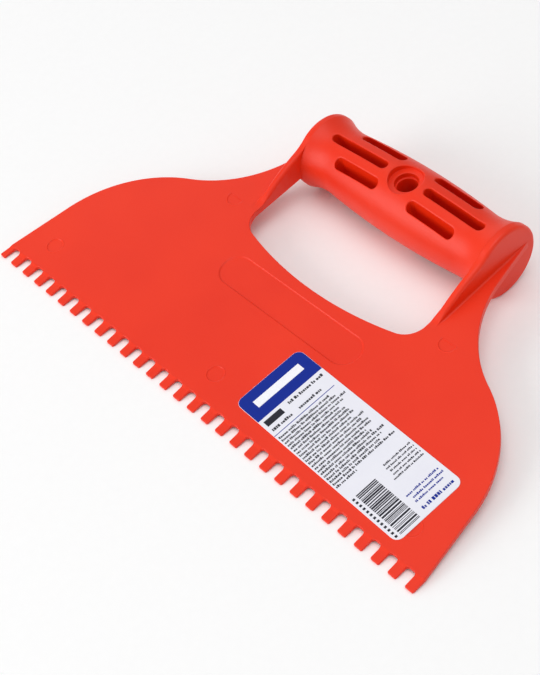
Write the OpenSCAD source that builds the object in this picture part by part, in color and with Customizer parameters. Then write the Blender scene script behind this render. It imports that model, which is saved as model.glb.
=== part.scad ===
// Notched adhesive trowel: a moulded plastic spreader with a comb edge, two arms that
// rise to a cored cross grip, and a printed label stuck on the front of the blade.
// X runs along the comb, Y from the comb to the grip, +Z out of the labelled face.
// The origin is where the hang hole crosses the grip's axis. Sizes are millimetres.

/* [Blade] */
// Width of the blade along the comb
blade_w = 235; // [220:1:260]
// Distance from the notch roots to the grip's axis
reach = 115.3; // [110:0.1:125]
// Thickness of the arms and of the blade beside the hand hole
plate_t = 3; // [2.4:0.1:3.6]
// Thickness of the blade at the notch roots
root_t = 1.8; // [1.2:0.1:2.4]
// Lean of each straight side edge towards the middle, in degrees
side_lean = 9.35; // [7:0.05:12]
// Length of each straight side edge
side_run = 29.4; // [20:0.1:34]
// Radius of the shoulder above each straight side edge
shoulder_r = 55; // [48:0.5:60]
// Direction of the outline's normal where shoulder and waist meet, in degrees
shoulder_turn = 64.3; // [58:0.1:68]
// Radius of the hollow waist below each arm
waist_r = 51.7; // [46:0.1:56]
// Lean of each arm's outer edge towards the grip, in degrees
arm_lean = 11.4; // [9:0.1:14]

/* [Comb] */
// Number of teeth
tooth_count = 30; // [10:1:30]
// Distance from one tooth to the next
tooth_pitch = 8; // [7:0.1:8]
// Width of a tooth
tooth_w = 3.9; // [3:0.1:5]
// Depth of the notches
notch_depth = 6; // [4:0.1:8]
// Thickness of a tooth at its tip
tip_t = 1; // [0.6:0.1:1.4]
// How far the first tooth's flank would stand outside the blade's corner
comb_overhang = 0.9; // [0:0.1:2.5]
// Radius in the corners of the notches
notch_corner_r = 1.2; // [0.6:0.1:1.5]
// Radius on the corners of the tooth tips
tip_corner_r = 0.6; // [0.3:0.1:1]

/* [Hand hole] */
// Clear width between the arms
hand_w = 93; // [88:1:96]
// Distance from the notch roots to the lowest point of the hand hole
hand_floor = 60.6; // [56:0.1:64]
// Radius of the bowed lower edge
hand_bow_r = 155; // [130:1:200]
// Radius of the two lower corners
hand_corner_r = 9.5; // [7:0.5:12]

/* [Grip] */
// Radius at the middle of the grip
grip_r = 15.3; // [14.5:0.1:16]
// Radius of the gentle swell along the grip
grip_swell_r = 350; // [300:10:450]
// Half length of the swell, where the hollow neck starts
grip_swell_half = 34; // [30:1:36]
// Radius of the hollow neck that flares out to each cheek
grip_flare_r = 23.5; // [22:0.5:28]
// Thickness of the solid web between the front and the back pockets
web_t = 2.4; // [1.6:0.1:4]
// Width of a pocket
pocket_w = 4; // [3:0.1:4.4]
// Near and far end of the two middle pockets, from the centre
mid_pocket = [10.2, 40]; // [9:0.1:41]
// Near and far end of the four side pockets, from the centre
side_pocket = [8.2, 31.5]; // [8:0.1:34]
// Distance of the side pockets from the grip's axis
side_pocket_y = 8; // [7:0.1:8.5]

/* [Hang hole] */
// Radius of the hole through the grip
hang_r = 4.2; // [3:0.1:4.5]
// Length of the through hole
hang_len = 20; // [16:0.5:22]
// Radius of the step outside the through hole
step_r = 4.85; // [4.6:0.05:5.5]
// Radius of the counterbore
counterbore_r = 7.1; // [6:0.1:7.4]
// Height of the counterbore's floor above the grip's axis
counterbore_z = 12.4; // [12:0.1:13]

/* [Cheeks] */
// Radius of the disc at each end of the grip
disc_r = 15.8; // [15:0.1:17]
// Thickness of a cheek
cheek_t = 3.3; // [2.5:0.1:4]
// Radius of the gusset's ridge, which runs from the disc down to the arm's front
gusset_r = 87; // [80:1:110]
// How far the ridge's arc lies below the disc's rim where the two are closest
gusset_sink = 3; // [2:0.1:4]
// Angle from the top of the disc to where the two are closest, in degrees
gusset_turn = 4.75; // [3:0.25:7]
// Radius on the outer rim of each disc
rim_r = 1.5; // [0.5:0.1:2]
// Radius on both edges of the gusset's ridge
ridge_r = 1.6; // [0.5:0.05:1.6]

/* [Panel and marks] */
// Length and height of the sunk panel under the hand hole
panel = [74.4, 14.3]; // [10:0.1:90]
// Distance from the notch roots to the middle of the panel
panel_y = 48.9; // [44:0.1:50]
// Depth of the panel
panel_depth = 0.4; // [0.2:0.1:0.8]
// Radius of an ejector mark
mark_r = 3.45; // [2:0.05:5]
// Depth of an ejector mark
mark_depth = 0.15; // [0.05:0.05:0.3]

/* [Label] */
// Width and height of the label
label = [85.5, 31.6]; // [20:0.1:90]
// Middle of the label, from the blade's centre line and from the notch roots
label_at = [59, 20.9]; // [16:0.1:60]
// Turn of the label, in degrees
label_turn = -1.9; // [-3:0.1:3]
// Radius of the label's corners
label_corner_r = 3; // [1:0.5:6]
// Thickness of the label
label_t = 0.15; // [0.1:0.05:0.3]

/* [Hidden] */
$fn = 120;
red = "#f04a2c";
past = 1; // how far a cutting solid runs past the face it cuts

root_y = -reach;
front_z = plate_t / 2;
wall_x = hand_w / 2;
outer_x = wall_x + cheek_t;

// Half of the outline: a leaning edge, a shoulder arc, a waist arc and the arm's edge.
function normal(a) = [cos(a), sin(a)];
function along(a) = [-sin(a), cos(a)];
corner = [blade_w / 2, root_y];
run_end = corner + side_run * along(side_lean);
shoulder_c = run_end - shoulder_r * normal(side_lean);
bend = shoulder_c + shoulder_r * normal(shoulder_turn);
waist_c = bend + waist_r * normal(shoulder_turn);
waist_end = waist_c - waist_r * normal(arm_lean);
arm_inset = 0.5; // how far inside the cheek's outer face the arm's edge ends
arm_top = waist_end + (waist_end.x - outer_x + arm_inset) / sin(arm_lean) * along(arm_lean);

// The hand hole: a bowed floor that runs into two round corners.
bow_c = [0, root_y + hand_floor + hand_bow_r];
hand_corner_x = wall_x - hand_corner_r;
hand_corner_y = bow_c.y - sqrt(pow(hand_bow_r - hand_corner_r, 2) - pow(hand_corner_x, 2));
hand_corner = [hand_corner_x, hand_corner_y];
bow_reach = (hand_bow_r + past) / (bow_c.y - hand_corner.y);
bow_end = bow_c + bow_reach * (hand_corner - bow_c);

// The gusset's arc leaves the disc below its rim and dies away on the arm's front.
gusset_c = (gusset_r - disc_r + gusset_sink) * [sin(gusset_turn), -cos(gusset_turn)];
toe_y = gusset_c.x - sqrt(pow(gusset_r, 2) - pow(front_z - gusset_c.y, 2));

// The swell of the grip meets the hollow neck without a crease.
swell_c = [grip_r - grip_swell_r, 0];
neck_turn = asin(grip_swell_half / grip_swell_r);
flare_c = swell_c + (grip_swell_r + grip_flare_r) * normal(neck_turn);

comb_start = -blade_w / 2 - comb_overhang;

function flip(p) = [-p.x, p.y];

// A bar with round ends, centred on the origin and lying along X.
module slot(size) {
    end_r = size.y / 2;
    square([size.x - size.y, size.y], center = true);
    for (side = [-1, 1])
        translate([side * (size.x / 2 - end_r), 0])
            circle(end_r);
}

// A rectangle with round corners, centred on the origin.
module card(size, corner_r) {
    square([size.x - 2 * corner_r, size.y], center = true);
    square([size.x, size.y - 2 * corner_r], center = true);
    for (sx = [-1, 1], sy = [-1, 1])
        translate([sx * (size.x / 2 - corner_r), sy * (size.y / 2 - corner_r)])
            circle(corner_r);
}

module half_outline() {
    difference() {
        union() {
            polygon([[0, root_y], corner, run_end, bend, waist_end, arm_top, [0, arm_top.y]]);
            intersection() {
                translate(shoulder_c)
                    circle(shoulder_r);
                translate([0, root_y])
                    square([blade_w, reach]);
            }
        }
        translate(waist_c)
            circle(waist_r);
    }
}

module hand_hole() {
    intersection() {
        translate(bow_c)
            circle(hand_bow_r, $fn = 360);
        polygon([hand_corner, bow_end, flip(bow_end), flip(hand_corner)]);
    }
    for (side = [-1, 1])
        translate([side * hand_corner.x, hand_corner.y])
            circle(hand_corner_r);
    translate([-wall_x, hand_corner.y])
        square([hand_w, arm_top.y - hand_corner.y + past]);
}

module outline() {
    difference() {
        union() {
            half_outline();
            mirror([1, 0])
                half_outline();
        }
        hand_hole();
    }
}

// Lays a profile drawn in Y and Z along X, from one X to another.
module lay_along_x(from_x, to_x) {
    translate([from_x, 0, 0])
        rotate([90, 0, 90])
            linear_extrude(to_x - from_x)
                children();
}

// The blade's section: flat in front, thinning behind from the hand hole to the comb.
module blade_section() {
    polygon([
        [hand_corner.y, -front_z],
        [hand_corner.y, front_z],
        [root_y, front_z],
        [root_y, front_z - root_t]
    ]);
}

module blade() {
    color(red)
        difference() {
            intersection() {
                translate([0, 0, -plate_t])
                    linear_extrude(2 * plate_t)
                        outline();
                lay_along_x(-blade_w, blade_w)
                    blade_section();
            }
            translate([0, root_y + panel_y, front_z - panel_depth])
                linear_extrude(panel_depth + past)
                    slot(panel);
            ejector_marks();
        }
}

// Where the mould's ejector pins pressed: three marks above the comb, two by the arms.
module ejector_marks() {
    lower = [[-101, 11.2], [0, 10.7], [101, 11.2]];
    upper = [[-58.5, 74], [58.5, 74]];
    for (at = concat(lower, upper))
        translate([at.x, root_y + at.y, front_z - mark_depth])
            cylinder(r = mark_r, h = mark_depth + past);
}

// One tooth between two X places, with round tip corners and fillets at its root.
module tooth(x0, x1, left_fillet, right_fillet) {
    tip_y = root_y - notch_depth;
    translate([x0, tip_y + tip_corner_r])
        square([x1 - x0, notch_depth - tip_corner_r]);
    translate([x0 + tip_corner_r, tip_y])
        square([x1 - x0 - 2 * tip_corner_r, notch_depth]);
    for (x = [x0 + tip_corner_r, x1 - tip_corner_r])
        translate([x, tip_y + tip_corner_r])
            circle(tip_corner_r, $fn = 32);
    if (left_fillet)
        root_fillet(x0, -1);
    if (right_fillet)
        root_fillet(x1, 1);
}

module root_fillet(x, side) {
    difference() {
        translate([side < 0 ? x - notch_corner_r : x, root_y - notch_corner_r])
            square(notch_corner_r);
        translate([x + side * notch_corner_r, root_y - notch_corner_r])
            circle(notch_corner_r, $fn = 48);
    }
}

// The teeth's section: a bevel in front, from the blade's face to a thin tip.
module tooth_section() {
    back_z = front_z - root_t;
    polygon([
        [root_y, back_z],
        [root_y, front_z],
        [root_y - notch_depth, back_z + tip_t],
        [root_y - notch_depth, back_z]
    ]);
}

module teeth() {
    color(red)
        intersection() {
            translate([0, 0, -plate_t])
                linear_extrude(2 * plate_t)
                    for (i = [0 : tooth_count - 1]) {
                        x = comb_start + i * tooth_pitch;
                        first = i == 0;
                        last = i == tooth_count - 1;
                        tooth(first ? -blade_w / 2 : x, x + tooth_w, !first, !last);
                    }
            lay_along_x(-blade_w, blade_w)
                tooth_section();
        }
}

// The flat fin outside a cheek, which widens downwards into the blade.
module arm() {
    color(red)
        translate([0, 0, -front_z])
            linear_extrude(plate_t)
                intersection() {
                    outline();
                    translate([outer_x, hand_corner.y])
                        square([blade_w, arm_top.y - hand_corner.y]);
                }
}

module right_arm() {
    arm();
}

module left_arm() {
    mirror([1, 0, 0])
        arm();
}

// A wheel about an axis along X, as thick as a cheek, with its outer corner rounded and,
// where soft_inside is set, its inner corner too.
module wheel(radius, edge_r, soft_inside) {
    straight = soft_inside ? cheek_t - 2 * edge_r : cheek_t - edge_r;
    rotate([0, 90, 0])
        rotate_extrude($fn = 360) {
            translate([0, wall_x])
                square([radius - edge_r, cheek_t]);
            translate([0, outer_x - edge_r - straight])
                square([radius, straight]);
            translate([radius - edge_r, outer_x - edge_r])
                circle(edge_r, $fn = 48);
            if (soft_inside)
                translate([radius - edge_r, wall_x + edge_r])
                    circle(edge_r, $fn = 48);
        }
}

// What a wheel about the gusset's centre gives of the gusset: the part between the disc
// and the toe, from the middle of the arm's thickness up.
module gusset_reach() {
    lay_along_x(wall_x, outer_x)
        translate([toe_y - past, 0])
            square([past - toe_y, disc_r]);
}

// The disc that ends the grip, its gusset in front, and the arm's inner edge behind that.
module cheek() {
    color(red) {
        wheel(disc_r, rim_r, false);
        intersection() {
            translate([0, gusset_c.x, gusset_c.y])
                wheel(gusset_r, ridge_r, true);
            gusset_reach();
        }
        lay_along_x(wall_x, outer_x)
            translate([hand_corner.y, -front_z])
                square([-hand_corner.y, plate_t]);
    }
}

module right_cheek() {
    cheek();
}

module left_cheek() {
    mirror([1, 0, 0])
        cheek();
}

// The grip's outline from its axis outwards: the swell, then a neck at each end.
module grip_profile() {
    intersection() {
        translate(swell_c)
            circle(grip_swell_r, $fn = 720);
        translate([0, -grip_swell_half])
            square([grip_r, 2 * grip_swell_half]);
    }
    for (side = [0, 1])
        mirror([0, side])
            difference() {
                translate([0, grip_swell_half])
                    square([disc_r, wall_x - grip_swell_half]);
                translate(flare_c)
                    circle(grip_flare_r);
            }
}

// The pockets that core the grip out, three rows on each side of the hang hole.
module pockets() {
    mid_len = mid_pocket[1] - mid_pocket[0];
    side_len = side_pocket[1] - side_pocket[0];
    for (side = [-1, 1]) {
        translate([side * (mid_pocket[0] + mid_len / 2), 0])
            slot([mid_len, pocket_w]);
        for (row = [-1, 1])
            translate([side * (side_pocket[0] + side_len / 2), row * side_pocket_y])
                slot([side_len, pocket_w]);
    }
}

module grip() {
    color(red)
        difference() {
            rotate([0, 90, 0])
                rotate_extrude()
                    grip_profile();
            for (face = [0, 1])
                mirror([0, 0, face]) {
                    translate([0, 0, web_t / 2])
                        linear_extrude(disc_r)
                            pockets();
                    translate([0, 0, hang_len / 2])
                        cylinder(r = step_r, h = disc_r);
                    translate([0, 0, counterbore_z])
                        cylinder(r = counterbore_r, h = disc_r);
                }
            cylinder(r = hang_r, h = 2 * disc_r, center = true);
        }
}

module label() {
    color("white")
        translate([label_at.x, root_y + label_at.y, front_z])
            rotate(label_turn)
                linear_extrude(label_t)
                    card(label, label_corner_r);
}

blade();
teeth();
left_arm();
right_arm();
left_cheek();
right_cheek();
grip();
label();
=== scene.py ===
import math
import random

import bmesh
import bpy
import numpy as np
from mathutils import Matrix, Vector
from mathutils.geometry import delaunay_2d_cdt


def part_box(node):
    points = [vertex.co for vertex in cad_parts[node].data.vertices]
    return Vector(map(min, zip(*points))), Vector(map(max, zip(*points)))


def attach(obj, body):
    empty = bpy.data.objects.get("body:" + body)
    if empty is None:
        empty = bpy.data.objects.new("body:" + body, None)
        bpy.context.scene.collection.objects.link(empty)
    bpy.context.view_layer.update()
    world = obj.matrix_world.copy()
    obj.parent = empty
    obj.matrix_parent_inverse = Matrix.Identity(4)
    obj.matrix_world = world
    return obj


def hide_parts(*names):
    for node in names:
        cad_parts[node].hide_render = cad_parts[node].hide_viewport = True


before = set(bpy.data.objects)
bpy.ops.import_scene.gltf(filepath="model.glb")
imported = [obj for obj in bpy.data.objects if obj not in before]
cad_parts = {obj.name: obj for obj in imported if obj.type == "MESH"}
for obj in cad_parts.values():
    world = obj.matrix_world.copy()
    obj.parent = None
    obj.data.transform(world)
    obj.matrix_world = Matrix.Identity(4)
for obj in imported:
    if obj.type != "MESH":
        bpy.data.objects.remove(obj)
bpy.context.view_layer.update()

# Blade. A flat sheet of orange-red polypropylene, injection moulded in one shot with the
# comb, the arms and the grip. Its front is flat and its back thins towards the comb. The
# mould rounds every edge, sinks a long panel and leaves five ejector marks, each a shallow
# round hollow in a fine raised ring.
MM = 0.001
blade_low, blade_high = (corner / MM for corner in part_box("blade"))
comb_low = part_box("teeth")[0] / MM
cheek_low, cheek_high = (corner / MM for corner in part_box("right_cheek"))
HALF_W = blade_high.x
ROOT_Y = blade_low.y
TIP_Y = comb_low.y
SEAM_Y = blade_high.y
FRONT = blade_high.z
BACK = blade_low.z
ROOT_BACK = comb_low.z
WALL_X = cheek_low.x
OUTER_X = cheek_high.x
DISC_R = cheek_high.z
EDGE_R = 0.3
# The outline's straight sides, shoulders, waists and the leaning edges of the arms.
SIDE_LEAN = 9.35
SIDE_RUN = 29.4
SHOULDER_R = 55.0
SHOULDER_TURN = 64.3
WAIST_R = 51.7
ARM_LEAN = 11.4
# The comb's teeth, which are part of the same outline. The blade's side trims the first one.
TOOTH_COUNT = 30
TOOTH_PITCH = 8.0
TOOTH_W = 3.9
FIRST_OVERHANG = 0.9
COMB_START = -HALF_W - FIRST_OVERHANG
NOTCH_R = 1.2
TIP_R = 0.6
# The lower end of the hand hole: a shallow bow between two round corners.
HAND_R = 9.5
BOW_R = 155.0
BOW_LOW = 60.6
BOW_CENTRE = Vector((0, ROOT_Y + BOW_LOW + BOW_R))
# How far the outline runs on past the seam with the arms, where the blade is cut off.
PAST_SEAM = 4.0
# The hollows. Each wall is given as pairs of inset and drop, from its rim to its foot, and
# each mark as its X and its distance from the comb's roots.
HOLLOW_STEP = 0.5
PANEL_LENGTH = 74.4
PANEL_R = 7.15
PANEL_Y = ROOT_Y + 48.9
PANEL_WALL = [(-0.3, 0), (-0.15, 0.02), (0, 0.09), (0.2, 0.31), (0.35, 0.38), (0.5, 0.4)]
MARKS = [(-101, 11.2), (0, 10.7), (101, 11.2), (-58.5, 74), (58.5, 74)]
MARK_R = 3.45
# A mark has a witness ring, 0.12 mm high, round a floor 0.15 mm deep.
MARK_RING = [(-0.45, 0), (-0.35, -0.06), (-0.25, -0.12), (-0.1, -0.12)]
MARK_WALL = MARK_RING + [(0.05, -0.02), (0.2, 0.15)]
# Blade and comb meet just below the roots of the notches.
COMB_SEAM_Y = ROOT_Y - 0.02
# Points nearer than this count as one.
SAME = 0.002
# How bmesh marks the large faces whose normals the modifier keeps.
STRENGTH = "__mod_weightednormals_faceweight"
MAIN_FACE = 16384


def heading(degrees):
    return Vector((math.cos(math.radians(degrees)), math.sin(math.radians(degrees))))


def arc(centre, radius, start, end, step=1.0):
    """Points about step millimetres apart on an arc, both ends among them."""
    count = max(4, round(abs(math.radians(end - start)) * radius / step))
    return [centre + radius * heading(start + (end - start) * i / count) for i in range(count + 1)]


def moved(loop, inset):
    """A closed loop that runs anticlockwise, moved towards its inside."""
    points = []
    for before, here, after in zip(loop[-1:] + loop[:-1], loop, loop[1:] + loop[:1]):
        first = (here - before).normalized()
        second = (after - here).normalized()
        outward = Vector((first.y + second.y, -first.x - second.x)) / (1 + first.dot(second))
        points.append(here - inset * outward)
    return points


def quarter(radius, steps=4):
    """Pairs of inset and drop that round an edge, from its flat face to its wall."""
    turns = [math.pi / 2 * i / steps for i in range(steps + 1)]
    return [(radius * (1 - math.sin(turn)), radius * (1 - math.cos(turn))) for turn in turns]


def ring(bm, points, height):
    return [bm.verts.new((p.x, p.y, height)) for p in points]


def loft(bm, rings):
    """Joins closed rings of vertices, each to the next, with quads."""
    for low, high in zip(rings, rings[1:]):
        for i, vertex in enumerate(low):
            j = (i + 1) % len(low)
            bm.faces.new((vertex, low[j], high[j], high[i]))


def fill(bm, loops, spare=(), flat=lambda vertex: vertex.co.xy):
    """Fills the face inside the first loop and outside the others, as a main face."""
    strength = bm.faces.layers.int.get(STRENGTH) or bm.faces.layers.int.new(STRENGTH)
    vertices = [vertex for loop in loops for vertex in loop] + list(spare)
    points = [flat(vertex) for vertex in vertices]
    edges = []
    for loop in loops:
        start = len(edges)
        edges += [(start + i, start + (i + 1) % len(loop)) for i in range(len(loop))]
    found = delaunay_2d_cdt(points, edges, [], 0, 1e-7)
    # A triangle is kept if a ray from its middle crosses the loops an odd number of times.
    corners = np.array([tuple(p) for p in found[0]])
    triangles = np.array(found[2])
    middles = corners[triangles].mean(axis=1)[:, None, :]
    a = np.array([tuple(points[i]) for i, j in edges])[None]
    b = np.array([tuple(points[j]) for i, j in edges])[None]
    spans = (a[..., 1] > middles[..., 1]) != (b[..., 1] > middles[..., 1])
    rise = np.where(spans, b[..., 1] - a[..., 1], 1.0)
    crossing = a[..., 0] + (b[..., 0] - a[..., 0]) * (middles[..., 1] - a[..., 1]) / rise
    inside = (spans & (middles[..., 0] < crossing)).sum(axis=1) % 2 == 1
    for triangle in triangles[inside]:
        face = bm.faces.new([vertices[found[3][i][0]] for i in triangle])
        face[strength] = MAIN_FACE


def split(bm, place, outward, clear=False):
    """Divides the faces along a plane, clears what lies beyond it if asked, returns the cut."""
    everything = bm.verts[:] + bm.edges[:] + bm.faces[:]
    made = bmesh.ops.bisect_plane(
        bm, geom=everything, dist=1e-5, plane_co=place, plane_no=outward, clear_outer=clear
    )
    return made["geom_cut"]


def cut(bm, place, outward):
    """Cuts off what lies beyond a plane and closes the cut."""
    made = split(bm, place, outward, clear=True)
    rim = [item for item in made if isinstance(item, bmesh.types.BMEdge)]
    bmesh.ops.holes_fill(bm, edges=rim, sides=0)


def piece(name, bm, material, crease=35.0):
    """Turns a mesh drawn in millimetres into an object with clean normals."""
    bmesh.ops.remove_doubles(bm, verts=bm.verts, dist=SAME)
    bmesh.ops.dissolve_degenerate(bm, edges=bm.edges, dist=SAME)
    bmesh.ops.recalc_face_normals(bm, faces=bm.faces)
    bm.transform(Matrix.Scale(MM, 4))
    mesh = bpy.data.meshes.new(name)
    bm.to_mesh(mesh)
    bm.free()
    mesh.materials.append(material)
    mesh.shade_smooth()
    mesh.set_sharp_from_angle(angle=math.radians(crease))
    made = bpy.data.objects.new(name, mesh)
    bpy.context.scene.collection.objects.link(made)
    normals = made.modifiers.new("main faces keep their normals", "WEIGHTED_NORMAL")
    normals.keep_sharp = True
    normals.use_face_influence = True
    return made


def linear(hex_colour):
    """An sRGB colour such as ff8800 as linear red, green, blue and a full alpha."""
    shares = [int(hex_colour[i:i + 2], 16) / 255 for i in (0, 2, 4)]
    return [s / 12.92 if s <= 0.04045 else ((s + 0.055) / 1.055) ** 2.4 for s in shares] + [1.0]


def add(material, kind, values={}, links={}, **settings):
    """Adds a node with its settings, its socket values and its links, and returns it."""
    node = material.node_tree.nodes.new(kind)
    for name, value in settings.items():
        setattr(node, name, value)
    for socket, value in values.items():
        node.inputs[socket].default_value = value
    for socket, source in links.items():
        material.node_tree.links.new(source, node.inputs[socket])
    return node


def new_material(name):
    material = bpy.data.materials.new(name)
    material.use_nodes = True
    material.node_tree.nodes.clear()
    return material


# Injection-moulded polypropylene from a spark-eroded mould: a strong pigment, a waxy satin
# surface with a fine grain that breaks highlights up, and a little light let in at the edges.
polypropylene = new_material("moulded orange-red polypropylene")
place = add(polypropylene, "ShaderNodeTexCoord")
# Pigment drifts slightly over some 40 mm, as the melt flowed.
drift = add(
    polypropylene, "ShaderNodeTexNoise",
    values={"Scale": 1 / (40 * MM), "Detail": 2.0, "Roughness": 0.5},
    links={"Vector": place.outputs["Object"]},
)
pigment = add(polypropylene, "ShaderNodeValToRGB", links={"Fac": drift.outputs["Fac"]})
pigment.color_ramp.elements[0].position = 0.3
pigment.color_ramp.elements[0].color = linear("e82a02")
pigment.color_ramp.elements[1].position = 0.7
pigment.color_ramp.elements[1].color = linear("ee3006")
# The eroded grain is about 0.15 mm across; it is drawn at 0.6 mm so that it shows.
grain = add(
    polypropylene, "ShaderNodeTexNoise",
    values={"Scale": 1 / (0.6 * MM), "Detail": 3.0, "Roughness": 0.6},
    links={"Vector": place.outputs["Object"]},
)
grain_bump = add(
    polypropylene, "ShaderNodeBump",
    values={"Strength": 0.45, "Distance": 0.08 * MM},
    links={"Height": grain.outputs["Fac"]},
)
satin = add(
    polypropylene, "ShaderNodeMapRange",
    values={"From Min": 0.3, "From Max": 0.7, "To Min": 0.36, "To Max": 0.48},
    links={"Value": grain.outputs["Fac"]},
)
waxy = add(
    polypropylene, "ShaderNodeBsdfPrincipled",
    values={
        "IOR": 1.49,
        "Specular IOR Level": 0.4,
        "Subsurface Weight": 0.08,
        "Subsurface Radius": (1.0, 0.25, 0.1),
        "Subsurface Scale": 1.2 * MM,
    },
    links={
        "Base Color": pigment.outputs["Color"],
        "Roughness": satin.outputs["Result"],
        "Normal": grain_bump.outputs["Normal"],
    },
)
add(polypropylene, "ShaderNodeOutputMaterial", links={"Surface": waxy.outputs["BSDF"]})


def comb_outline():
    """The comb from left to right: a fillet, a tooth with round corners and a fillet again."""
    points = []
    for i in range(TOOTH_COUNT):
        left = max(COMB_START + i * TOOTH_PITCH, -HALF_W)
        right = COMB_START + i * TOOTH_PITCH + TOOTH_W
        if i > 0:
            points += arc(Vector((left - NOTCH_R, ROOT_Y - NOTCH_R)), NOTCH_R, 90, 0)
        points += arc(Vector((left + TIP_R, TIP_Y + TIP_R)), TIP_R, 180, 270)
        points += arc(Vector((right - TIP_R, TIP_Y + TIP_R)), TIP_R, 270, 360)
        if i < TOOTH_COUNT - 1:
            points += arc(Vector((right + NOTCH_R, ROOT_Y - NOTCH_R)), NOTCH_R, 180, 90)
    return points + [Vector((right, ROOT_Y))]


def mirrored(points):
    return [Vector((-p.x, p.y)) for p in reversed(points)]


run_end = Vector((HALF_W, ROOT_Y)) + SIDE_RUN * heading(SIDE_LEAN + 90)
shoulder_centre = run_end - SHOULDER_R * heading(SIDE_LEAN)
waist_centre = shoulder_centre + (SHOULDER_R + WAIST_R) * heading(SHOULDER_TURN)
seam_turn = math.degrees(math.asin((SEAM_Y + PAST_SEAM - waist_centre.y) / WAIST_R))
right_side = [Vector((HALF_W, ROOT_Y))]
right_side += arc(shoulder_centre, SHOULDER_R, SIDE_LEAN, SHOULDER_TURN)
right_side += arc(waist_centre, WAIST_R, SHOULDER_TURN + 180, 180 - seam_turn)[1:]
hand_corner = Vector((WALL_X - HAND_R, SEAM_Y))
bow_half = math.degrees(math.atan2(hand_corner.x, BOW_CENTRE.y - hand_corner.y))
half_hole = [Vector((WALL_X, SEAM_Y + PAST_SEAM))]
half_hole += arc(hand_corner, HAND_R, 0, bow_half - 90)
half_bow = arc(BOW_CENTRE, BOW_R, bow_half - 90, -90)[1:]
right_half = right_side + half_hole + half_bow
sheet_outline = right_half + mirrored(right_half[:-1])[:-1] + comb_outline()


def sheet():
    """The blade and the comb as one sheet of even thickness, with every edge rounded."""
    bm = bmesh.new()
    rounding = quarter(EDGE_R)
    rings = [ring(bm, moved(sheet_outline, inset), BACK + drop) for inset, drop in rounding]
    rings += [ring(bm, moved(sheet_outline, inset), FRONT - drop) for inset, drop in rounding[::-1]]
    loft(bm, rings)
    fill(bm, [rings[0]])
    hollows = []
    end_x = PANEL_LENGTH / 2 - PANEL_R
    panel = arc(Vector((end_x, PANEL_Y)), PANEL_R, -90, 90, HOLLOW_STEP)
    panel += arc(Vector((-end_x, PANEL_Y)), PANEL_R, 90, 270, HOLLOW_STEP)
    hollows.append(sunk(bm, panel, PANEL_WALL))
    for x, y in MARKS:
        mark = arc(Vector((x, ROOT_Y + y)), MARK_R, 0, 360, HOLLOW_STEP)[:-1]
        hollows.append(sunk(bm, mark, MARK_WALL))
    fill(bm, [rings[-1]] + hollows)
    return bm


def sunk(bm, loop, wall):
    """Adds a shallow hollow, its wall given as pairs of inset and drop, and returns its rim."""
    rings = [ring(bm, moved(loop, inset), FRONT - drop) for inset, drop in wall]
    loft(bm, rings)
    fill(bm, [rings[-1]])
    return rings[0]


bm = sheet()
cut(bm, (0, COMB_SEAM_Y, 0), (0, -1, 0))
cut(bm, (0, SEAM_Y, 0), (0, 1, 0))
for vertex in bm.verts:
    if vertex.co.z < 0:
        vertex.co.z += (ROOT_BACK - BACK) * (SEAM_Y - vertex.co.y) / (SEAM_Y - ROOT_Y)
blade = piece("blade_sheet", bm, polypropylene)
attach(blade, "root")
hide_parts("blade")

# Comb. Thirty square teeth of the same moulding, with round corners at their tips and in
# the notches. In front each tooth steps down from the blade by a short facet and then runs
# more gently to a thin tip; its back is flat.
TIP_FRONT = ROOT_BACK + 1.0
FACET_Y = ROOT_Y - 1.5
FACET_DROP = 0.5
COMB_CREASE = 14.0
bm = sheet()
cut(bm, (0, COMB_SEAM_Y, 0), (0, 1, 0))
split(bm, (0, FACET_Y, 0), (0, 1, 0))
for vertex in bm.verts:
    if vertex.co.z < 0:
        vertex.co.z += ROOT_BACK - BACK
    else:
        facet = min(1.0, (ROOT_Y - vertex.co.y) / (ROOT_Y - FACET_Y))
        rest = max(0.0, (FACET_Y - vertex.co.y) / (FACET_Y - TIP_Y))
        vertex.co.z -= FACET_DROP * facet + (FRONT - FACET_DROP - TIP_FRONT) * rest
teeth = piece("comb_teeth", bm, polypropylene, COMB_CREASE)
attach(teeth, "root")
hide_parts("teeth")

# Arms. On each side the sheet runs on as a flat fin outside the cheek. It narrows upwards
# and dies away on the face of the disc; small fillets join it to the wall beside it. The
# gusset's arc is given here because the front fillet ends where the ridge does.
FILLET_R = 0.8
FIN_SHARE = 0.4
BACK_CLEAR = 1.0
ARM_STATIONS = 70
GUSSET_R = 87.0
GUSSET_SINK = 3.0
GUSSET_TURN = 4.75
gusset_centre = (GUSSET_R - DISC_R + GUSSET_SINK) * heading(270 + GUSSET_TURN)
line_start = waist_centre - WAIST_R * heading(ARM_LEAN)
arm_end_y = line_start.y + (line_start.x - OUTER_X) / math.tan(math.radians(ARM_LEAN))


def fin_edge(y, inset):
    """How far out the fin's edge lies at a height up the arm, moved inwards by inset."""
    tangent_y = waist_centre.y - (WAIST_R + inset) * math.sin(math.radians(ARM_LEAN))
    if y < tangent_y:
        return waist_centre.x - math.sqrt((WAIST_R + inset) ** 2 - (y - waist_centre.y) ** 2)
    slope = math.tan(math.radians(ARM_LEAN))
    return line_start.x - inset / math.cos(math.radians(ARM_LEAN)) - (y - line_start.y) * slope


def ridge_height(y):
    """How high the gusset's ridge stands above the arm's front."""
    reach_y = y - gusset_centre.x
    return gusset_centre.y + math.sqrt(GUSSET_R ** 2 - reach_y ** 2) - FRONT


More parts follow.
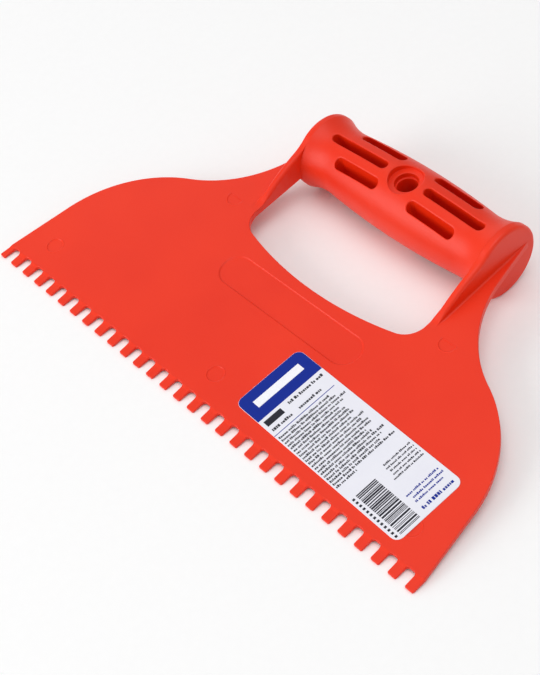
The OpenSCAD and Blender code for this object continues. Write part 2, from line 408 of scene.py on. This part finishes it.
def fin_section(bm, y, side):
    """A ring of vertices round the fin: its back fillet, its rounded edge, its front fillet."""
    width = max(fin_edge(y, 0) - OUTER_X, 0.0)
    edge_r = min(EDGE_R, FIN_SHARE * width)
    front_r = min(FILLET_R, FIN_SHARE * width, 0.5 * max(0.0, ridge_height(y)))
    back_r = min(FILLET_R, FIN_SHARE * width, max(0.0, y + DISC_R - BACK_CLEAR))
    rounding = quarter(edge_r)
    points = [(OUTER_X + drop, BACK - inset) for inset, drop in quarter(back_r)]
    points += [(fin_edge(y, inset), BACK + drop) for inset, drop in rounding]
    points += [(fin_edge(y, inset), FRONT - drop) for inset, drop in rounding[::-1]]
    points += [(OUTER_X + drop, FRONT + inset) for inset, drop in quarter(front_r)[::-1]]
    return [bm.verts.new((side * max(x, OUTER_X), y, z)) for x, z in points]


for name, side in (("right_arm", 1), ("left_arm", -1)):
    bm = bmesh.new()
    stations = [SEAM_Y + (arm_end_y - SEAM_Y) * i / ARM_STATIONS for i in range(ARM_STATIONS + 1)]
    rings = [fin_section(bm, y, side) for y in stations]
    loft(bm, rings)
    bm.faces.new(rings[0])
    arm = piece(name + "_fin", bm, polypropylene)
    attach(arm, "root")
    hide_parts(name)

# Cheeks. A wall at each end of the grip: a disc with a soft rim, and a gusset whose ridge
# is rounded over. The ridge leaves the disc below its rim and dies away on the arm's front,
# with a soft hollow at either end of it.
RIDGE_R = 1.6
RIM_R = 1.5
LEAST_R = 0.12
NOOK_R = 20.0
TOE_R = 6.0
BACK_FILLET_R = 1.5
BACK_STATIONS = 24
RIM_STEPS = 5
# The ridge's radii grow with its height, the inner one also with its distance from the disc,
# where the barrel joins. The disc's outer rim grows within the first degrees of its turn. No
# radius falls below LEAST_R, so that no face shrinks to a point.
HEIGHT_SHARE = 0.6
DISC_MARGIN = 0.3
GROWTH_TURN = 12.0
disc_centre = Vector((0, 0))


def crossing(first, first_r, second, second_r):
    """Where two circles cross, on the left of the way from the first centre to the second."""
    apart = second - first
    along = (first_r ** 2 - second_r ** 2 + apart.length_squared) / (2 * apart.length)
    aside = math.sqrt(first_r ** 2 - along ** 2)
    ahead = apart.normalized()
    return first + along * ahead + aside * Vector((-ahead.y, ahead.x))


def bearing(start, end):
    return math.degrees(math.atan2(end.y - start.y, end.x - start.x)) % 360


def cheek_outline():
    """Points of the wall's outline in Y and Z, with the outward normal and both edge radii."""
    outline = [(Vector((SEAM_Y, BACK)), heading(270), EDGE_R, LEAST_R)]

    def follow(centre, radius, start, end, count, inside=1):
        """Adds an arc; inside is -1 where the outline runs round a hollow."""
        for i in range(1, count + 1):
            turn = start + (end - start) * i / count
            at = centre + radius * heading(turn)
            out = inside * heading(turn)
            room = 0.5 * max(0.0, at.length - DISC_R - DISC_MARGIN)
            height = HEIGHT_SHARE * (at.y - FRONT)
            if at.y < 0:
                inner = min(EDGE_R, room)
                outer = RIM_R * min(1.0, max(0.0, (turn - back_meet - 180) / GROWTH_TURN))
            else:
                inner = min(RIDGE_R, max(EDGE_R, height), room)
                outer = min(RIM_R, height) if at.x < -1 else RIM_R
            outline.append((at, out, max(LEAST_R, inner), max(LEAST_R, outer)))

    back_z = BACK - BACK_FILLET_R
    back_centre = Vector((-math.sqrt((DISC_R + BACK_FILLET_R) ** 2 - back_z ** 2), back_z))
    back_meet = bearing(back_centre, disc_centre)
    for i in range(1, BACK_STATIONS + 1):
        y = SEAM_Y + (back_centre.x - SEAM_Y) * i / BACK_STATIONS
        outline.append((Vector((y, BACK)), heading(270), EDGE_R, LEAST_R))
    nook = crossing(gusset_centre, GUSSET_R + NOOK_R, disc_centre, DISC_R + NOOK_R)
    nook_meet = bearing(disc_centre, nook)
    toe_z = FRONT + TOE_R
    toe_y = gusset_centre.x - math.sqrt((GUSSET_R + TOE_R) ** 2 - (toe_z - gusset_centre.y) ** 2)
    toe = Vector((toe_y, toe_z))
    toe_meet = bearing(gusset_centre, toe)
    follow(back_centre, BACK_FILLET_R, 90, back_meet, 8, -1)
    follow(disc_centre, DISC_R, back_meet + 180, nook_meet + 360, 120)
    follow(nook, NOOK_R, nook_meet + 180, bearing(nook, gusset_centre), 8, -1)
    follow(gusset_centre, GUSSET_R, bearing(gusset_centre, nook), toe_meet, 40)
    follow(toe, TOE_R, toe_meet + 180, 270, 10, -1)
    outline.append((Vector((SEAM_Y, FRONT)), heading(90), EDGE_R, LEAST_R))
    return outline


def cheek_wall(bm, side):
    """Both faces of the wall and its edge, which is rounded with a radius of its own on each."""
    outline = cheek_outline()
    turns = [math.pi / 2 * i / RIM_STEPS for i in range(RIM_STEPS + 1)]
    rings = []
    for inner in (True, False):
        for turn in turns if inner else turns[::-1]:
            vertices = []
            for at, outward, inner_r, outer_r in outline:
                radius = inner_r if inner else outer_r
                drop = radius * (1 - math.cos(turn))
                point = at - radius * (1 - math.sin(turn)) * outward
                x = WALL_X + drop if inner else OUTER_X - drop
                vertices.append(bm.verts.new((side * x, point.x, point.y)))
            rings.append(vertices)
    loft(bm, rings)
    fill(bm, [rings[0]], flat=lambda vertex: vertex.co.yz)
    fill(bm, [rings[-1]], flat=lambda vertex: vertex.co.yz)


for name, side in (("right_cheek", 1), ("left_cheek", -1)):
    bm = bmesh.new()
    cheek_wall(bm, side)
    cheek = piece(name + "_wall", bm, polypropylene)
    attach(cheek, "root")
    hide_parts(name)

# Grip. A gently swollen barrel between the cheeks that flares out to them. It is cored out
# from the front and from the back by three rows of long pockets, so that its walls stay
# thin, and a stepped hang hole goes through its middle.
GRIP_R = 15.3
SWELL_R = 350.0
SWELL_HALF = 34.0
FLARE_R = 23.5
POCKET_R = 2.0
POCKET_FLOOR = 1.2
SIDE_ROW = 8.0
MID_POCKET = (10.2, 40.0)
SIDE_POCKET = (8.2, 31.5)
POCKET_RIM = 0.5
POCKET_FOOT = 0.6
POCKET_STEP = 0.45
HANG_R = 4.2
HANG_HALF = 10.0
STEP_R = 4.85
COUNTER_R = 7.1
COUNTER_Z = 12.4
HANG_RIM = 0.5
HANG_EDGE = 0.3
# The soft feet of the hang hole's steps, as pairs of inset and rise.
COUNTER_FOOT = ((0, 0.3), (0.1, 0.08), (0.3, 0))
STEP_FOOT = ((0, 0.1), (0.1, 0))
# The skin's vertices stand a millimetre apart along the barrel and four degrees apart round
# it, but none within RIM_CLEAR of a hollow's rim.
LAST_ROW = 46
SKIN_TURNS = 45
RIM_CLEAR = 0.45
neck_turn = math.degrees(math.asin(SWELL_HALF / SWELL_R))
flare_centre = Vector((GRIP_R - SWELL_R, 0)) + (SWELL_R + FLARE_R) * heading(neck_turn)


def barrel_r(x):
    """The barrel's radius at a distance along its axis: the swell, then the hollow neck."""
    if abs(x) < SWELL_HALF:
        return GRIP_R - SWELL_R + math.sqrt(SWELL_R ** 2 - x * x)
    return min(flare_centre.x - math.sqrt(FLARE_R ** 2 - (abs(x) - flare_centre.y) ** 2), DISC_R)


def on_barrel(x, y):
    return math.sqrt(barrel_r(x) ** 2 - y * y)


def unrolled(vertex):
    """Where a point of the barrel's front lies when its skin is rolled out flat."""
    return Vector((vertex.co.x, GRIP_R * math.atan2(vertex.co.y, vertex.co.z)))


def pocket(bm, near, far, row):
    """Adds a straight-walled pocket with a soft rim and a round foot, and returns its rim."""
    half = (far - near) / 2 - POCKET_R
    middle = (near + far) / 2
    loop = arc(Vector((middle + half, row)), POCKET_R, -90, 90, POCKET_STEP)
    straight = max(1, round(2 * half))
    loop += [loop[-1] - Vector((2 * half * i / straight, 0)) for i in range(1, straight)]
    loop += arc(Vector((middle - half, row)), POCKET_R, 90, 270, POCKET_STEP)
    loop += [loop[-1] + Vector((2 * half * i / straight, 0)) for i in range(1, straight)]
    rings = []
    for inset, drop in quarter(POCKET_RIM):
        lip = moved(loop, -inset)
        rings.append([bm.verts.new((p.x, p.y, on_barrel(p.x, p.y) - drop)) for p in lip])
    for inset, drop in quarter(POCKET_FOOT)[::-1]:
        rings.append(ring(bm, moved(loop, inset), POCKET_FLOOR + drop))
    loft(bm, rings)
    fill(bm, [rings[-1]])
    return rings[0]


def hang_hole(bm):
    """Adds the counterbore, the step and half of the hole's length, and returns the rim."""
    rings = []

    def circle(radius, height=None, drop=0.0):
        loop = arc(Vector((0, 0)), radius, 0, 360, 0.5 * radius / COUNTER_R)[:-1]
        heights = [on_barrel(p.x, p.y) - drop if height is None else height for p in loop]
        rings.append([bm.verts.new((p.x, p.y, z)) for p, z in zip(loop, heights)])

    for inset, drop in quarter(HANG_RIM):
        circle(COUNTER_R + inset, drop=drop)
    for inset, rise in COUNTER_FOOT:
        circle(COUNTER_R - inset, COUNTER_Z + rise)
    for inset, drop in quarter(HANG_EDGE, 3):
        circle(STEP_R + inset, COUNTER_Z - drop)
    for inset, rise in STEP_FOOT:
        circle(STEP_R - inset, HANG_HALF + rise)
    for inset, drop in quarter(HANG_EDGE, 3):
        circle(HANG_R + inset, HANG_HALF - drop)
    circle(HANG_R, 0)
    loft(bm, rings)
    return rings[0]


def barrel_half(bm):
    """The barrel's front half: its hollows and the skin that is stretched between their rims."""
    rims = []
    for side in (-1, 1):
        near, far = sorted(side * end for end in MID_POCKET)
        rims.append(pocket(bm, near, far, 0))
        for row in (-SIDE_ROW, SIDE_ROW):
            near, far = sorted(side * end for end in SIDE_POCKET)
            rims.append(pocket(bm, near, far, row))
    rims.append(hang_hole(bm))
    keep_off = np.array([tuple(unrolled(vertex)) for rim in rims for vertex in rim])
    stations = [-WALL_X] + list(range(-LAST_ROW, LAST_ROW + 1)) + [WALL_X]
    turns = [math.radians(-90 + 180 * i / SKIN_TURNS) for i in range(SKIN_TURNS + 1)]
    border, spare = [], []
    for x in stations:
        for turn in turns:
            radius = barrel_r(x)
            at = np.array((x, GRIP_R * turn))
            on_border = abs(x) == WALL_X or abs(turn) > math.pi / 2 - 1e-6
            if not on_border:
                near_rim = np.hypot(*(keep_off - at).T).min() < RIM_CLEAR
                if near_rim or covered(at, rims):
                    continue
            vertex = bm.verts.new((x, radius * math.sin(turn), radius * math.cos(turn)))
            (border if on_border else spare).append(vertex)
    rim = sorted(border, key=around)
    fill(bm, [rim] + rims, spare, flat=unrolled)


def around(vertex):
    """Sorts the border of the rolled-out skin into one loop."""
    at = unrolled(vertex)
    return math.atan2(at.y / (GRIP_R * math.pi / 2), at.x / WALL_X)


def covered(at, rims):
    """Whether a place on the rolled-out skin is within a rim."""
    for rim in rims:
        loop = [unrolled(vertex) for vertex in rim]
        inside = False
        for a, b in zip(loop, loop[1:] + loop[:1]):
            if (a.y > at[1]) != (b.y > at[1]):
                if at[0] < a.x + (b.x - a.x) * (at[1] - a.y) / (b.y - a.y):
                    inside = not inside
        if inside:
            return True
    return False


bm = bmesh.new()
barrel_half(bm)
back_half = bmesh.ops.duplicate(bm, geom=bm.verts[:] + bm.edges[:] + bm.faces[:])["geom"]
for item in back_half:
    if isinstance(item, bmesh.types.BMVert):
        item.co.z = -item.co.z
bmesh.ops.remove_doubles(bm, verts=bm.verts, dist=SAME)
ends = [edge for edge in bm.edges if edge.is_boundary]
bmesh.ops.holes_fill(bm, edges=ends, sides=0)
grip = piece("grip_barrel", bm, polypropylene)
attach(grip, "root")
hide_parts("grip")

# Label. A die-cut white film label with round corners, stuck on the blade's front a little
# out of square. Its print is plain: a dark blue band with a white stripe at one end, then a
# rule, lines of strokes that stand for text, and a bar code.
label_low, label_high = (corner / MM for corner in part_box("label"))
LABEL_W = 85.5
LABEL_H = 31.6
LABEL_TURN = -1.9
LABEL_R = 3.0
LABEL_SOFT = 0.05
INK_T = 0.025
BAND_W = 13.0
TRIM = 0.1
label_middle = (label_low + label_high) / 2


def on_label(bm):
    """Moves a mesh drawn from the label's lower left corner to its place on the blade."""
    bm.transform(Matrix.Translation((-LABEL_W / 2, -LABEL_H / 2, 0)))
    bm.transform(Matrix.Rotation(math.radians(LABEL_TURN), 4, "Z"))
    bm.transform(Matrix.Translation((label_middle.x, label_middle.y, 0)))


def card_outline(left, right, low, high, radius):
    """A rectangle with round corners, as a closed loop."""
    points = arc(Vector((right - radius, low + radius)), radius, -90, 0)
    points += arc(Vector((right - radius, high - radius)), radius, 0, 90)
    points += arc(Vector((left + radius, high - radius)), radius, 90, 180)
    return points + arc(Vector((left + radius, low + radius)), radius, 180, 270)


film = new_material("white label film")
film_place = add(film, "ShaderNodeTexCoord")
# The film lies on the plastic's grain, which shows as faint waves about 6 mm apart.
waves = add(
    film, "ShaderNodeTexNoise",
    values={"Scale": 1 / (6 * MM), "Detail": 2.0},
    links={"Vector": film_place.outputs["Object"]},
)
film_bump = add(
    film, "ShaderNodeBump",
    values={"Strength": 0.1, "Distance": 0.05 * MM},
    links={"Height": waves.outputs["Fac"]},
)
film_tone = add(film, "ShaderNodeValToRGB", links={"Fac": waves.outputs["Fac"]})
film_tone.color_ramp.elements[0].color = linear("e6e6f0")
film_tone.color_ramp.elements[1].color = linear("ececf4")
film_face = add(
    film, "ShaderNodeBsdfPrincipled",
    values={"IOR": 1.5, "Roughness": 0.4},
    links={"Base Color": film_tone.outputs["Color"], "Normal": film_bump.outputs["Normal"]},
)
add(film, "ShaderNodeOutputMaterial", links={"Surface": film_face.outputs["BSDF"]})

bm = bmesh.new()
card = card_outline(0, LABEL_W, 0, LABEL_H, LABEL_R)
rings = [ring(bm, card, FRONT)]
for inset, drop in quarter(LABEL_SOFT)[::-1]:
    rings.append(ring(bm, moved(card, inset), label_high.z - drop))
loft(bm, rings)
fill(bm, [rings[0]])
fill(bm, [rings[-1]])
on_label(bm)
label_card = piece("label_card", bm, film)
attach(label_card, "root")
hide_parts("label")


def ink(name, hex_colour, gloss):
    """Offset printing ink: a flat, even colour whose density varies slightly."""
    material = new_material(name)
    where = add(material, "ShaderNodeTexCoord")
    # Ink density wanders over about 1 mm.
    density = add(
        material, "ShaderNodeTexNoise",
        values={"Scale": 1 / (1.0 * MM), "Detail": 2.0},
        links={"Vector": where.outputs["Object"]},
    )
    tone = add(
        material, "ShaderNodeMix", data_type="RGBA", links={"Factor": density.outputs["Fac"]}
    )
    colour = linear(hex_colour)
    tone.inputs[6].default_value = colour
    tone.inputs[7].default_value = [min(1.0, 1.15 * part) for part in colour[:3]] + [1.0]
    surface = add(
        material, "ShaderNodeBsdfPrincipled",
        values={"IOR": 1.5, "Specular IOR Level": 0.2, "Roughness": gloss},
        links={"Base Color": tone.outputs[2]},
    )
    add(material, "ShaderNodeOutputMaterial", links={"Surface": surface.outputs["BSDF"]})
    return material


def bar(bm, left, right, low, high, layer=0):
    """A printed bar: a very thin block on the film, or on the ink below it."""
    base = label_high.z + layer * INK_T
    corners = [Vector(p) for p in ((left, low), (right, low), (right, high), (left, high))]
    rings = [ring(bm, corners, base), ring(bm, corners, base + INK_T)]
    loft(bm, rings)
    bm.faces.new(rings[0])
    bm.faces.new(rings[1])


def printed(name, bm, material):
    """Lays one colour of the print on the label as a piece of its own."""
    on_label(bm)
    made = piece(name, bm, material)
    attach(made, "root")


bm = bmesh.new()
band = arc(Vector((LABEL_R, LABEL_H - LABEL_R)), LABEL_R - TRIM, 90, 180)
band += arc(Vector((LABEL_R, LABEL_R)), LABEL_R - TRIM, 180, 270)
band += [Vector((BAND_W, TRIM)), Vector((BAND_W, LABEL_H - TRIM))]
rings = [ring(bm, band, label_high.z), ring(bm, band, label_high.z + INK_T)]
loft(bm, rings)
fill(bm, [rings[0]])
fill(bm, [rings[1]])
RULE_AT = 22.1
RULE_HALF = 0.15
RULE_BELOW_TOP = 2.3
bar(bm, RULE_AT - RULE_HALF, RULE_AT + RULE_HALF, TRIM, LABEL_H - RULE_BELOW_TOP)
# Each small line: where it is, its height, how far below the top it starts, and its length.
SMALL_LINES = [
    (74.9, 0.9, 1.6, 15.5),
    (76.9, 0.9, 1.6, 14.2),
    (78.8, 0.9, 3.4, 13.0),
    (82.3, 1.4, 1.6, 15.0),
]
dice = random.Random(7)


def words(bm, at, height, low, high):
    """One printed line of text: groups of plain strokes of uneven height."""
    start = low
    while start < high - 0.6 * height:
        for i in range(dice.randint(2, 8)):
            end = min(start + dice.uniform(0.35, 0.75) * height, high)
            tall = height * dice.choice((0.7, 0.7, 1.0))
            bar(bm, at + height / 2 - tall, at + height / 2, start, end)
            start = end + 0.18 * height
            if start > high - 0.4 * height:
                return
        start += 0.4 * height


for at, height, below_top, length in SMALL_LINES:
    words(bm, at, height, LABEL_H - below_top - length, LABEL_H - below_top)
printed("label_band_and_rules", bm, ink("dark blue label ink", "00248c", 0.5))

bm = bmesh.new()
STRIPE = (4.7, 8.3, 4.6, 27.0)
bar(bm, *STRIPE, layer=1)
printed("label_band_stripe", bm, ink("white label ink", "ececf4", 0.4))

bm = bmesh.new()
# Beside the band: a solid bar and three headings, each with its place, height and two ends.
SOLID_BAR = (14.4, 17.2, 1.4, 9.6)
HEADINGS = [(15.1, 1.3, 13.0, 30.4), (19.6, 1.2, 1.4, 11.0), (19.6, 1.3, 14.2, 25.0)]
bar(bm, *SOLID_BAR)
for heading_line in HEADINGS:
    words(bm, *heading_line)
# The body of the text, whose last line is short.
TEXT_START = 23.9
TEXT_PITCH = 1.6
TEXT_LINES = 20
TEXT_H = 1.0
TEXT_LOW = 0.7
LAST_LENGTH = 10.0
for i in range(TEXT_LINES):
    length = LAST_LENGTH if i == TEXT_LINES - 1 else dice.uniform(23.0, 29.5)
    words(bm, TEXT_START + i * TEXT_PITCH, TEXT_H, TEXT_LOW, TEXT_LOW + length)
# Five lines above the bar code, which end level and start unevenly.
NOTE_START = 60.2
NOTE_PITCH = 1.7
NOTE_H = 0.8
for i in range(5):
    low = LABEL_H - 16.5 + dice.uniform(0, 3)
    words(bm, NOTE_START + NOTE_PITCH * i, NOTE_H, low, LABEL_H - 0.9)
# The bar code and the thirteen marks below it.
CODE_START = 61.8
CODE_STOP = 84.2
CODE_EDGE = 84.6
CODE_LOW = LABEL_H - 28.6
CODE_HIGH = LABEL_H - 19.4
x = CODE_START
while x < CODE_STOP:
    thick = dice.choice((0.25, 0.25, 0.5, 0.75))
    bar(bm, x, min(x + thick, CODE_EDGE), CODE_LOW, CODE_HIGH)
    x += thick + dice.choice((0.25, 0.25, 0.5))
DIGIT_START = 62.0
DIGIT_PITCH = 1.75
DIGIT_W = 0.9
for i in range(13):
    left = DIGIT_START + DIGIT_PITCH * i
    bar(bm, left, left + DIGIT_W, 1.0, 2.0)
printed("label_text_bars", bm, ink("dark grey label ink", "24242e", 0.5))

# Floor. A pale matt sheet, as the tool lies on it: on the tips of its comb and on the backs
# of the two discs, so the sheet leans a little against the blade.
comb_touch = Vector((0, TIP_Y, ROOT_BACK))
reach = math.hypot(TIP_Y, ROOT_BACK)
floor_lean = math.asin(DISC_R / reach) - math.atan2(-ROOT_BACK, -TIP_Y)
FLOOR_HALF = 3000.0
CELLS = 8
bm = bmesh.new()
steps = [FLOOR_HALF * (2 * i / CELLS - 1) for i in range(CELLS + 1)]
grid = [[bm.verts.new((x, y, 0)) for x in steps] for y in steps]
for low, high in zip(grid, grid[1:]):
    for i in range(CELLS):
        bm.faces.new((low[i], low[i + 1], high[i + 1], high[i]))
bm.transform(Matrix.Rotation(-floor_lean, 4, "X"))
bm.transform(Matrix.Translation(comb_touch))
pale = new_material("pale matt paper")
pale_place = add(pale, "ShaderNodeTexCoord")
# Paper fibres clump over about 3 mm.
fibres = add(
    pale, "ShaderNodeTexNoise",
    values={"Scale": 1 / (3 * MM), "Detail": 3.0},
    links={"Vector": pale_place.outputs["Object"]},
)
pale_tone = add(pale, "ShaderNodeValToRGB", links={"Fac": fibres.outputs["Fac"]})
pale_tone.color_ramp.elements[0].color = linear("fbfbfb")
pale_tone.color_ramp.elements[1].color = linear("fefefe")
pale_face = add(
    pale, "ShaderNodeBsdfPrincipled",
    values={"Roughness": 0.9},
    links={"Base Color": pale_tone.outputs["Color"]},
)
add(pale, "ShaderNodeOutputMaterial", links={"Surface": pale_face.outputs["BSDF"]})
bm.transform(Matrix.Scale(MM, 4))
floor_mesh = bpy.data.meshes.new("floor")
bm.to_mesh(floor_mesh)
bm.free()
floor_mesh.materials.append(pale)
floor = bpy.data.objects.new("floor", floor_mesh)
bpy.context.scene.collection.objects.link(floor)

# Light. A white room and three large soft boxes: one overhead, one low on the comb's side
# and a weak one low on the far side, which brightens the blade's far end.
world = bpy.data.worlds.new("white room")
bpy.context.scene.world = world
world.use_nodes = True
backdrop = world.node_tree.nodes["Background"]
backdrop.inputs["Color"].default_value = (1, 1, 1, 1)
backdrop.inputs["Strength"].default_value = 0.47
# The lights and the camera turn about this point near the middle of the blade.
AIM = Vector((4.2, -80.3, 1.6)) * MM


def soft_box(name, azimuth, elevation, distance, size, power):
    """A square area light that faces the aim; angles in degrees, lengths in metres."""
    light = bpy.data.lights.new(name, "AREA")
    light.shape = "SQUARE"
    light.size = size
    light.energy = power
    box = bpy.data.objects.new(name, light)
    bpy.context.scene.collection.objects.link(box)
    turn = Matrix.Rotation(math.radians(azimuth), 4, "Z")
    tilt = Matrix.Rotation(math.radians(90 - elevation), 4, "X")
    away = Matrix.Translation((0, 0, distance))
    box.matrix_world = Matrix.Translation(AIM) @ turn @ tilt @ away


soft_box("overhead light", 130, 78, 2.4, 2.0, 23.0)
soft_box("comb side light", -25, 24, 1.8, 1.4, 20.0)
soft_box("far side light", -118, 30, 2.0, 1.2, 2.8)
bpy.context.scene.view_settings.view_transform = "Standard"

# Camera. It looks down on the front from the comb's right end, held askew.
CAMERA_AZIMUTH = 62.48
CAMERA_ELEVATION = 51.43
CAMERA_ROLL = -19.49
CAMERA_DISTANCE = 580.3 * MM
lens = bpy.data.cameras.new("camera")
lens.lens = 83.0
lens.sensor_width = 36.0
lens.clip_start = 0.01
lens.clip_end = 20.0
camera = bpy.data.objects.new("camera", lens)
bpy.context.scene.collection.objects.link(camera)
look = Matrix.Rotation(math.radians(CAMERA_AZIMUTH), 4, "Z")
look = look @ Matrix.Rotation(math.radians(90 - CAMERA_ELEVATION), 4, "X")
look = look @ Matrix.Rotation(math.radians(CAMERA_ROLL), 4, "Z")
camera.matrix_world = Matrix.Translation(AIM) @ look @ Matrix.Translation((0, 0, CAMERA_DISTANCE))
bpy.context.scene.camera = camera
